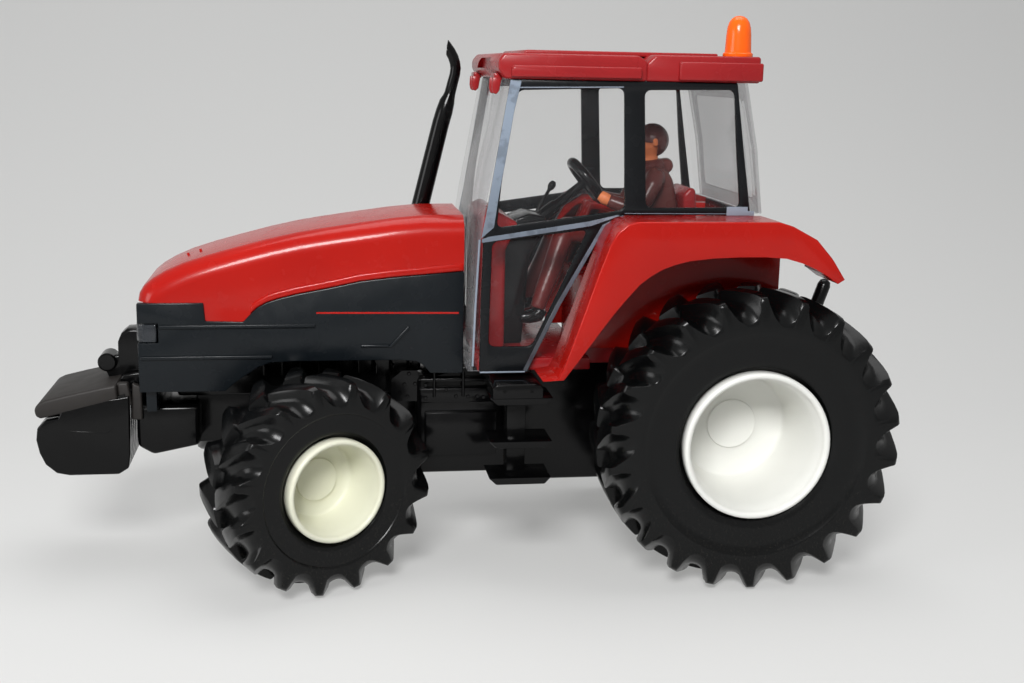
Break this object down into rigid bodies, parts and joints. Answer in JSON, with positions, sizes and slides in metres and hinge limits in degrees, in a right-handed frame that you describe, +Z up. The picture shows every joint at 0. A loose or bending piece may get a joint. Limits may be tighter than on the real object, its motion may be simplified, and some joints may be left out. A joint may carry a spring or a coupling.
{
  "type": "toy farm tractor",
  "caption": "Toy farm tractor at 1:32 with glazed cab, lugged tyres, steering front axle, nose weights and a rear lift linkage.",
  "frame": {"origin": "on the floor, under the middle of the whole box", "axes": "+X forward, +Y to the left, +Z up"},
  "size_m": [0.17, 0.0749, 0.1096],
  "materials": {
    "tyre_rubber": "satin moulded rubber",
    "rim_white": "moulded white plastic",
    "rim_cream": "moulded cream plastic",
    "body_red": "gloss red enamel",
    "roof_red": "gloss moulded dark red plastic",
    "panel_grey": "satin dark grey plastic",
    "clear_plastic": "clear moulded plastic",
    "beacon_orange": "gloss orange plastic",
    "driver_brown": "matt painted figure",
    "driver_skin": "matt painted figure",
    "weight_grey": "matt dark grey plastic",
    "chassis_black": "gloss black enamel"
  },
  "bodies": {
    "tractor": {"beacon": "beacon_orange", "bonnet": "body_red", "cab_floor": "roof_red", "cab_glass": "clear_plastic", "cab_rear": "panel_grey", "cab_side_left": "panel_grey", "cab_side_right": "panel_grey", "chassis": "chassis_black", "console": "panel_grey", "drawbar": "chassis_black", "driver": "driver_brown", "driver_head": "driver_skin", "engine": "chassis_black", "exhaust": "chassis_black", "fender_left": "body_red", "fender_right": "body_red", "front_axle": "chassis_black", "front_weights": "weight_grey", "headlamp_left": "clear_plastic", "headlamp_right": "clear_plastic", "hitch_bracket": "chassis_black", "nose_panel": "panel_grey", "rear_axle": "chassis_black", "roof": "roof_red", "roof_lamps": "roof_red", "seat": "roof_red", "side_panel_left": "panel_grey", "side_panel_right": "panel_grey", "steering_wheel": "panel_grey", "step_left": "chassis_black", "step_right": "chassis_black", "weight_carrier": "chassis_black"},
    "knuckle_left": {"knuckle_left": "chassis_black"},
    "knuckle_right": {"knuckle_right": "chassis_black"},
    "tie_rod": {"tie_rod": "chassis_black"},
    "linkage": {"linkage": "chassis_black"},
    "front_wheel_left": {"front_rim_left": "rim_cream", "front_tyre_left": "tyre_rubber"},
    "front_wheel_right": {"front_rim_right": "rim_cream", "front_tyre_right": "tyre_rubber"},
    "rear_wheel_left": {"rear_rim_left": "rim_white", "rear_tyre_left": "tyre_rubber"},
    "rear_wheel_right": {"rear_rim_right": "rim_white", "rear_tyre_right": "tyre_rubber"}
  },
  "joints": [
    {"name": "steer_left", "type": "hinge", "parent": "tractor", "child": "knuckle_left", "pos_m": [0.0337, 0.0162, 0.021], "axis": [0, 0, 1], "range_deg": [-53, 0]},
    {"name": "steer_right", "type": "hinge", "parent": "tractor", "child": "knuckle_right", "pos_m": [0.0337, -0.0162, 0.021], "axis": [0, 0, 1], "range_deg": [-53, 0]},
    {"name": "tie_rod_pivot", "type": "hinge", "parent": "knuckle_left", "child": "tie_rod", "pos_m": [0.02923, 0.01397, 0.02], "axis": [0, 0, 1], "range_deg": [0, 53]},
    {"name": "front_roll_left", "type": "hinge", "parent": "knuckle_left", "child": "front_wheel_left", "pos_m": [0.03156, 0.0205, 0.021], "axis": [-0.4462, 0.8949, 0], "continuous": true},
    {"name": "front_roll_right", "type": "hinge", "parent": "knuckle_right", "child": "front_wheel_right", "pos_m": [0.03584, -0.0205, 0.021], "axis": [-0.4462, 0.8949, 0], "continuous": true},
    {"name": "rear_roll_left", "type": "hinge", "parent": "tractor", "child": "rear_wheel_left", "pos_m": [-0.0515, 0.0239, 0.0294], "axis": [0, 1, 0], "continuous": true},
    {"name": "rear_roll_right", "type": "hinge", "parent": "tractor", "child": "rear_wheel_right", "pos_m": [-0.0515, -0.0239, 0.0294], "axis": [0, 1, 0], "continuous": true},
    {"name": "link_lift", "type": "hinge", "parent": "tractor", "child": "linkage", "pos_m": [-0.067, 0, 0.026], "axis": [0, 1, 0], "range_deg": [-12, 18]}
  ],
  "couplings": [
    {"joint": "steer_right", "follows": "steer_left", "ratio": 1},
    {"joint": "tie_rod_pivot", "follows": "steer_left", "ratio": -1}
  ]
}
